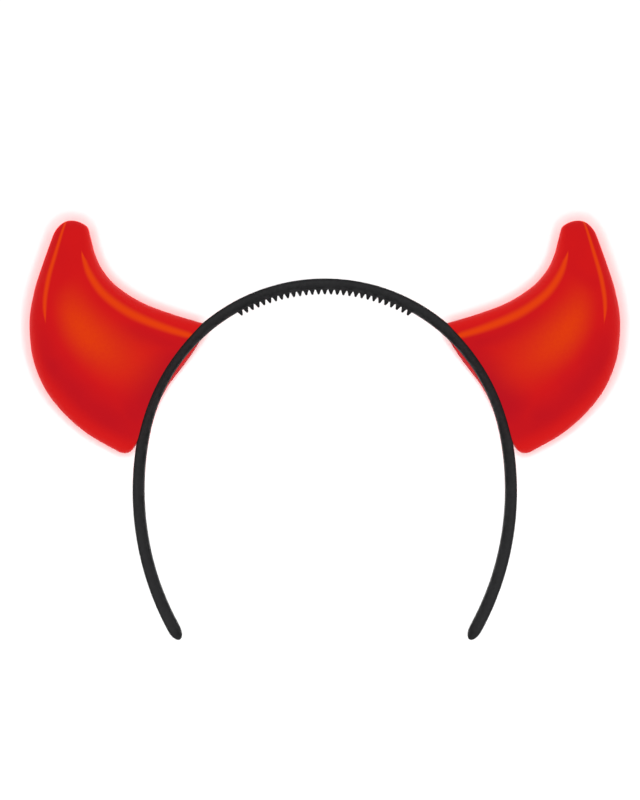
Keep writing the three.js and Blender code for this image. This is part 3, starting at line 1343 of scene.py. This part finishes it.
    def start_share(self, columns: Columns, inset: float, height: float) -> Array:
        """Finds where each line starts: on the seat at the band's face, or behind it at the base.

        Args:
            columns: The lines.
            inset: How far the skin is drawn in, which is also kept clear of the seat.
            height: Height above the base where a line behind the band starts.

        Returns:
            The share along the horn for each line.
        """
        base = self.lowest_share(columns, height)
        lowest = self.share_of(height)
        trial = np.linspace(lowest, self.seat_limit, self.seat_trials)
        points = self.skin(trial[:, None], columns.turn, inset + self.base_inset(trial - lowest)[:, None])
        clear = self.path.outside(points[..., 0], points[..., 1]) - self.seat_offset(points[..., 2]) - inset
        first = np.argmax(clear >= 0.0, axis=0)
        before = np.maximum(first - 1, 0)
        line = np.arange(len(columns.turn))
        low, high = clear[before, line], clear[first, line]
        part = np.where(first > 0, low / np.where(first > 0, low - high, 1.0), 0.0)
        share = trial[before] + part * (trial[first] - trial[before])
        return np.where(columns.on_band, share, base)

    def seat_height(self, across: Array, front: Array, on_band: Array) -> Array:
        """Finds how high above the base plane the seat lies, by halving the stretch that holds it.

        Args:
            across: Distances across the base.
            front: Distances to the front.
            on_band: Whether each lies on the band or behind it.

        Returns:
            The heights: the base's hollow behind the band, zero where the band's face is below the base.
        """
        low, high = np.zeros_like(across), np.full_like(across, self.seat_reach)
        for _ in range(self.seat_halvings):
            middle = (low + high) / 2
            points = self.on_base(across, front, middle)
            inside = self.path.outside(points[..., 0], points[..., 1]) < self.seat_offset(front)
            low, high = np.where(inside, middle, low), np.where(inside, high, middle)
        return np.where(on_band, low, self.recess(across))

    def on_base(self, across: Array, front: Array, height: Array) -> Array:
        """Places points by their distance across the base, to the front and above the base plane.

        Args:
            across: Distances across, towards the hollow edge.
            front: Distances to the front.
            height: Heights above the base plane.

        Returns:
            The points.
        """
        base = self.base
        axis = np.array([base.across[1], -base.across[0]])
        xy = base.middle + across[..., None] * base.across + height[..., None] * axis
        return np.concatenate([xy, front[..., None]], axis=-1)

    def mouth(self, rim: Array, columns: Columns) -> tuple[Array, Array]:
        """Finds the mouth's edge for each line: the base's oval drawn in, with the step kept where it is.

        Args:
            rim: How far to the front each line starts.
            columns: The lines.

        Returns:
            The distances across and to the front.
        """
        wide, deep = self.base.half_width - self.mouth_lip, self.base.half_depth - self.mouth_lip
        back = self.band_half - self.seat_sink
        ahead = (rim + back) * (deep + back) / (rim.max() + back) - back
        behind = (rim + back) * (deep - back) / (back + rim.min()) * -1.0 - back
        front = np.clip(np.where(columns.on_band, ahead, behind), -deep, deep)
        share = (1.0 - np.abs(front / deep) ** self.fullness) ** (1.0 / self.fullness)
        ahead_way = np.sign(columns.turn[np.argmax(rim)] - columns.turn)
        behind_way = np.sign(columns.turn - columns.turn[np.argmin(rim)])
        return np.where(columns.on_band, ahead_way, behind_way) * wide * share, front

    def tip(self, turn: Array, start: float, inset: Array | float, quarter: Array, shown: float) -> Stretch:
        """Closes the horn over a quarter turn.

        The place along grows by tip_share times its sine, and the ovals shrink by the power of its cosine.

        Args:
            turn: The lines' turns.
            start: The share at which it starts to close.
            inset: How far the ovals are drawn in.
            quarter: Places on the quarter turn, one for each ring.
            shown: 1 on the outside and 0 on the inside.

        Returns:
            The rings from the start to the tip.
        """
        share = start + self.tip_share * np.sin(quarter)
        scale = np.cos(quarter) ** self.power
        points = self.skin(share, turn, inset, scale)
        return Stretch(points, np.broadcast_to(share, points.shape[:2]), shown * scale)

    def outside(self, columns: Columns) -> Stretch:
        """Runs the lines up the outside to where it starts to close.

        The first rows follow the base's rounding, with lines on the band beside the step drawn together. The
        next are spread evenly up to even_from, and from there on a row has one share for all lines.

        Args:
            columns: The lines.

        Returns:
            The rings from the rim up.
        """
        start = self.start_share(columns, 0.0, 0.0)
        round_share = self.share_of(self.base_round)
        above = np.where(columns.on_band, np.clip(2.0 * start / round_share, 0.0, 1.0), 0.0)
        quarter = np.linspace(0.0, math.pi / 2, self.round_rows)[:, None]
        rounding = round_share * (1.0 - np.cos(quarter)) * (1.0 - above * self.beside_step(columns.turn))
        evenly = np.linspace(0.0, 1.0, self.low_rows)[1:, None]
        rest = rounding[-1] + (self.even_from - rounding[-1]) * evenly
        low = start + (self.even_from - start) * (np.concatenate([rounding, rest]) / self.even_from)
        high = np.linspace(self.even_from, self.tip_from, self.even_rows)[1:, None]
        share = np.concatenate([low, np.broadcast_to(high, (len(high), len(start)))])
        inset = self.base_inset(share - self.lowest_share(columns, 0.0)) - self.seam(columns.turn)
        return Stretch(self.skin(share, columns.turn, inset), share, np.ones((len(share), 1)))

    def lip(self, columns: Columns, rim: Array, share: Array) -> Stretch:
        """Runs the lines from the rim over the base to the mouth's edge, and up through the wall there.

        Args:
            columns: The lines.
            rim: The point where each line starts.
            share: Its place along the horn.

        Returns:
            The rings from the rim inwards.
        """
        rim_across, rim_front = (rim[:, :2] - self.base.middle) @ self.base.across, rim[:, 2]
        mouth_across, mouth_front = self.mouth(rim_front, columns)
        inward = np.linspace(0.0, 1.0, self.lip_rows)[1:, None]
        across = rim_across + inward * (mouth_across - rim_across)
        front = rim_front + inward * (mouth_front - rim_front)
        height = self.seat_height(across, front, columns.on_band)
        edge = self.on_base(mouth_across, mouth_front, height[-1] + self.wall)
        points = np.concatenate([self.on_base(across, front, height), edge[None]])
        return Stretch(points, np.broadcast_to(share, points.shape[:2]), np.zeros((len(points), 1)))

    def inside(self, columns: Columns) -> Stretch:
        """Runs the lines up the inside, a wall away from the outside, to where it starts to close.

        Args:
            columns: The lines.

        Returns:
            The rings from the base up.
        """
        start = self.start_share(columns, self.wall, self.wall)
        share = start + (self.inner_tip_from - start) * np.linspace(0.0, 1.0, self.inner_rows)[:, None]
        inset = self.wall + self.base_inset(share - self.lowest_share(columns, self.wall))
        return Stretch(self.skin(share, columns.turn, inset), share, np.zeros((len(share), 1)))

    def surface(self) -> Surface:
        """Runs the lines from the tip down the outside, over the lip into the mouth, and up the inside.

        Returns:
            The horn's skin, with marks for places along it, across it and to its front, 0 off the outside.
        """
        columns = self.columns()
        turn = columns.turn
        quarter = np.linspace(0.0, self.tip_stop * math.pi / 2, self.tip_rows)[1:, None]
        tip = self.tip(turn, self.tip_from, -self.seam(turn), quarter, 1.0)
        outside = self.outside(columns)
        lip = self.lip(columns, outside.points[0], outside.along[0])
        inside = self.inside(columns)
        inner_tip = self.tip(turn, self.inner_tip_from, self.wall, quarter[::self.inner_tip_skip], 0.0)
        stretches = (tip.backwards(), outside.backwards(), lip, inside, inner_tip)
        rings, along, reach = (np.concatenate(values) for values in zip(*stretches))
        marks = {
            "along": along,
            "across": reach * swell(np.cos(turn), self.power),
            "ahead": reach * swell(np.sin(turn), self.power),
        }
        tip_points = self.section(np.array([1.0, along[-1, 0]])).middle
        ends = np.concatenate([tip_points, np.zeros((2, 1))], axis=-1)
        return Surface(rings * self.side.mirror, ends * self.side.mirror, marks)

    def glow_places(self, share: Array, over: Array) -> Array:
        """Spreads points inside the horn, half way from its front to its back.

        Args:
            share: Places along the horn.
            over: Places across it, from -1 to 1.

        Returns:
            The points, one for each pair of places.
        """
        section = self.section(share[:, None])
        xy = section.middle + (over * section.half_width)[..., None] * section.across
        points = np.concatenate([xy, np.zeros((*xy.shape[:2], 1))], axis=-1).reshape(-1, 3)
        return points * self.side.mirror


@dataclass(frozen=True)
class Plug(Moulding):
    """The plug in a horn's mouth: an oval with a rounded rim, cut to the band below and flat on top."""

    slot: ClassVar[Slot] = Slot.PLUG
    horn: Horn
    height: float = 9.0
    rim_gap: float = 0.2
    rim_round: float = 0.8
    step_gap: float = 0.01
    rear_rows: int = 22
    front_rows: int = 48
    lines: int = 61
    crease_deg: float = 40.0

    @property
    def names(self) -> tuple[str, str]:
        """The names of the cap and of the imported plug."""
        return "plug_cap_" + self.horn.side.word, "plug_" + self.horn.side.word

    def stations(self, deep: float) -> tuple[Array, Array]:
        """Lists distances to the front, close together at the rim, with a pair at the band's back.

        Args:
            deep: Half the plug's depth.

        Returns:
            The distances in order, and whether the band lies under each.
        """
        step = self.horn.seat_sink - self.horn.band_half
        rear_turn = np.linspace(math.pi / 2, 0.0, self.rear_rows)[1:-1]
        front_turn = np.linspace(0.0, math.pi, self.front_rows)[1:-1]
        behind = step - (deep + step) * np.sin(rear_turn)
        ahead = step + (deep - step) * (1.0 - np.cos(front_turn)) / 2
        front = np.concatenate([behind, [step - self.step_gap, step + self.step_gap], ahead])
        return front, front > step

    def surface(self) -> Surface:
        """Carries a closed outline from the back of the oval to its front.

        At a distance z to the front the half width is wide * (1 - |z / deep|^p)^(1/p). The outline crosses
        on the seat from -w to w and comes back along the flat top. Near the rim the seat side rises by
        r * (1 - sqrt(1 - t^2)), where t is the share of the rounding that is passed.

        Returns:
            The plug's skin.
        """
        horn, power = self.horn, self.horn.fullness
        wide = horn.base.half_width - horn.mouth_lip - self.rim_gap
        deep = horn.base.half_depth - horn.mouth_lip - self.rim_gap
        front, on_band = self.stations(deep)
        narrow = (1.0 - np.abs(front / deep) ** power) ** (1.0 / power)
        over = -np.cos(np.linspace(0.0, math.pi, self.lines))
        across = wide * narrow[:, None] * over
        ahead = np.broadcast_to(front[:, None], across.shape)
        below = np.broadcast_to(on_band[:, None], across.shape)
        rim = (np.abs(across / wide) ** power + np.abs(ahead / deep) ** power) ** (1.0 / power)
        past = np.clip(1.0 - (1.0 - rim) * deep / self.rim_round, 0.0, 1.0)
        rise = self.rim_round * (1.0 - np.sqrt(1.0 - past**2))
        seat = horn.on_base(across, ahead, horn.seat_height(across, ahead, below) + rise)
        top = horn.on_base(across[:, ::-1], ahead, np.full_like(across, self.height))
        rings = np.concatenate([seat, top], axis=1)
        mirror = horn.side.mirror
        return Surface(rings * mirror, rings[[0, -1]].mean(axis=1) * mirror)


@dataclass(frozen=True)
class Lamps:
    """The lamps in the horns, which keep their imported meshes."""

    finish: Finish = LampLens()

    def dress(self, nodes: dict[str, Object]) -> None:
        """Puts the glowing lens on each lamp.

        Args:
            nodes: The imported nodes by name.
        """
        material = self.finish.material()
        for side in Side:
            node = nodes["lamp_" + side.word]
            for slot in node.material_slots:
                slot.material = material
            LOG.info("%s: dressed with %s", node.name, material.name)


@dataclass(frozen=True)
class Studio:
    """The pale floor, the soft lights and the camera, square on to the front of the headband."""

    plane: WearingPlane = WearingPlane()
    floor_half: float = 4.0
    camera_distance: float = 1100.0
    camera_reach: float = 20.0
    picture_height: float = 296.0
    picture_middle: tuple[float, float] = (-1.776, 25.16)
    sensor: float = 36.0
    ring_count: int = 12
    ring_tilt_deg: float = 8.2
    ring_lamp_size: float = 0.08
    ring_power: float = 13.5
    sky_low: float = 1.0
    sky_high: float = 0.04
    sky_from: float = 0.1
    sky_to: float = 0.5
    glow_shares: tuple[float, ...] = (0.06, 0.2, 0.34, 0.48, 0.62, 0.76, 0.9, 1.0)
    glow_over: tuple[float, ...] = (-0.6, 0.0, 0.6)
    glow_power: float = 0.007
    glow_height: float = 0.016
    glow_size: float = 0.004
    glow_cone_deg: float = 140.0
    glow_blend: float = 0.4
    glow_red: Colour = paint(255, 12, 14)

    def floor(self) -> Object:
        """Lays the pale floor.

        Returns:
            The floor.
        """
        half = self.floor_half
        corners = [(-half, -half, 0.0), (half, -half, 0.0), (half, half, 0.0), (-half, half, 0.0)]
        mesh = bpy.data.meshes.new("floor")
        mesh.from_pydata(corners, [], [(0, 1, 2, 3)])
        mesh.materials.append(FloorPaper(self.camera_distance * METRES).material())
        floor = bpy.data.objects.new("floor", mesh)
        bpy.context.scene.collection.objects.link(floor)
        return floor

    def ring_light(self, blockers: Collection) -> None:
        """Hangs a ring of soft lights round the camera, each turned to the middle of the picture.

        Args:
            blockers: What throws these lights' shadows, so that the slim band throws none.
        """
        target = Vector(self.plane.to_row(np.array([*self.picture_middle, 0.0])))
        facing = Matrix.Rotation(math.radians(self.plane.tilt_deg), 3, "X")
        tilt = Matrix.Rotation(math.radians(self.ring_tilt_deg), 3, "X")
        for turn in np.linspace(0.0, 2 * math.pi, self.ring_count, endpoint=False):
            light = bpy.data.lights.new("ring_light", "AREA")
            light.shape = "DISK"
            light.size = self.ring_lamp_size
            light.energy = self.ring_power / self.ring_count
            lamp = bpy.data.objects.new("ring_light", light)
            aim = facing @ Matrix.Rotation(float(turn), 3, "Z") @ tilt
            lamp.location = target + aim @ Vector((0.0, 0.0, self.camera_distance * METRES))
            lamp.rotation_euler = aim.to_euler()
            lamp.light_linking.blocker_collection = blockers
            bpy.context.scene.collection.objects.link(lamp)

    def sky(self) -> None:
        """Fills the room with pale light that dims from the horizon up, by the sine of the height."""
        world = bpy.data.worlds.new("studio")
        world.use_nodes = True
        tree = world.node_tree
        way = tree.nodes.new("ShaderNodeTexCoord")
        split = tree.nodes.new("ShaderNodeSeparateXYZ")
        fade = tree.nodes.new("ShaderNodeMapRange")
        fade.interpolation_type = "SMOOTHSTEP"
        stretch = (self.sky_from, self.sky_to, self.sky_low, self.sky_high)
        for name, value in zip(("From Min", "From Max", "To Min", "To Max"), stretch):
            fade.inputs[name].default_value = value
        background = tree.nodes["Background"]
        background.inputs["Color"].default_value = WHITE
        tree.links.new(way.outputs["Generated"], split.inputs["Vector"])
        tree.links.new(split.outputs["Z"], fade.inputs["Value"])
        tree.links.new(fade.outputs["Result"], background.inputs["Strength"])
        bpy.context.scene.world = world

    def glow(self, horn: Horn, lit: Collection) -> None:
        """Sets small red lights in a horn, which shine down through its vinyl onto the floor.

        Their power grows with the square of their height, so that the floor under each is as red.

        Args:
            horn: The horn.
            lit: What the lights fall on.
        """
        points = horn.glow_places(np.array(self.glow_shares), np.array(self.glow_over))
        for place in self.plane.to_row(points):
            name = "glow_" + horn.side.word
            light = bpy.data.lights.new(name, "SPOT")
            light.spot_size = math.radians(self.glow_cone_deg)
            light.spot_blend = self.glow_blend
            light.color = self.glow_red[:3]
            light.energy = self.glow_power * float(place[2] / self.glow_height) ** 2
            light.shadow_soft_size = self.glow_size
            light.use_shadow = False
            lamp = bpy.data.objects.new(name, light)
            lamp.location = place
            lamp.light_linking.receiver_collection = lit
            bpy.context.scene.collection.objects.link(lamp)

    def camera(self) -> None:
        """Sets the camera so that the picture's height takes in picture_height at the wearing plane."""
        data = bpy.data.cameras.new("camera")
        data.sensor_width = self.sensor
        data.lens = self.sensor * self.camera_distance / self.picture_height
        data.clip_end = self.camera_reach
        camera = bpy.data.objects.new("camera", data)
        camera.location = self.plane.to_row(np.array([*self.picture_middle, self.camera_distance]))
        camera.rotation_euler = (math.radians(self.plane.tilt_deg), 0.0, 0.0)
        bpy.context.scene.collection.objects.link(camera)
        bpy.context.scene.camera = camera
        bpy.context.scene.view_settings.view_transform = "Standard"

    def build(self, horns: dict[Side, Horn], pieces: list[Object]) -> None:
        """Sets up the whole studio.

        Args:
            horns: The two horns.
            pieces: Their shown pieces.
        """
        lit = bpy.data.collections.new("glow_floor")
        lit.objects.link(self.floor())
        blockers = bpy.data.collections.new("ring_light_blockers")
        for piece in pieces:
            blockers.objects.link(piece)
        self.ring_light(blockers)
        self.sky()
        for horn in horns.values():
            self.glow(horn, lit)
        self.camera()


def main() -> None:
    """Loads the frame and builds each sub-assembly in turn."""
    logging.basicConfig(level=logging.INFO, format="%(name)s: %(message)s")
    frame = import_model()
    plane = WearingPlane()
    Band().build(plane, BandPlastic().material())
    vinyl = HornVinyl().material()
    horns = {side: Horn(side) for side in Side}
    shells = [horn.build(plane, vinyl) for horn in horns.values()]
    plug_plastic = PlugPlastic().material()
    for horn in horns.values():
        Plug(horn).build(plane, plug_plastic)
    Lamps().dress(frame["nodes"])
    Studio(plane).build(horns, shells)


if __name__ == "__main__":
    main()
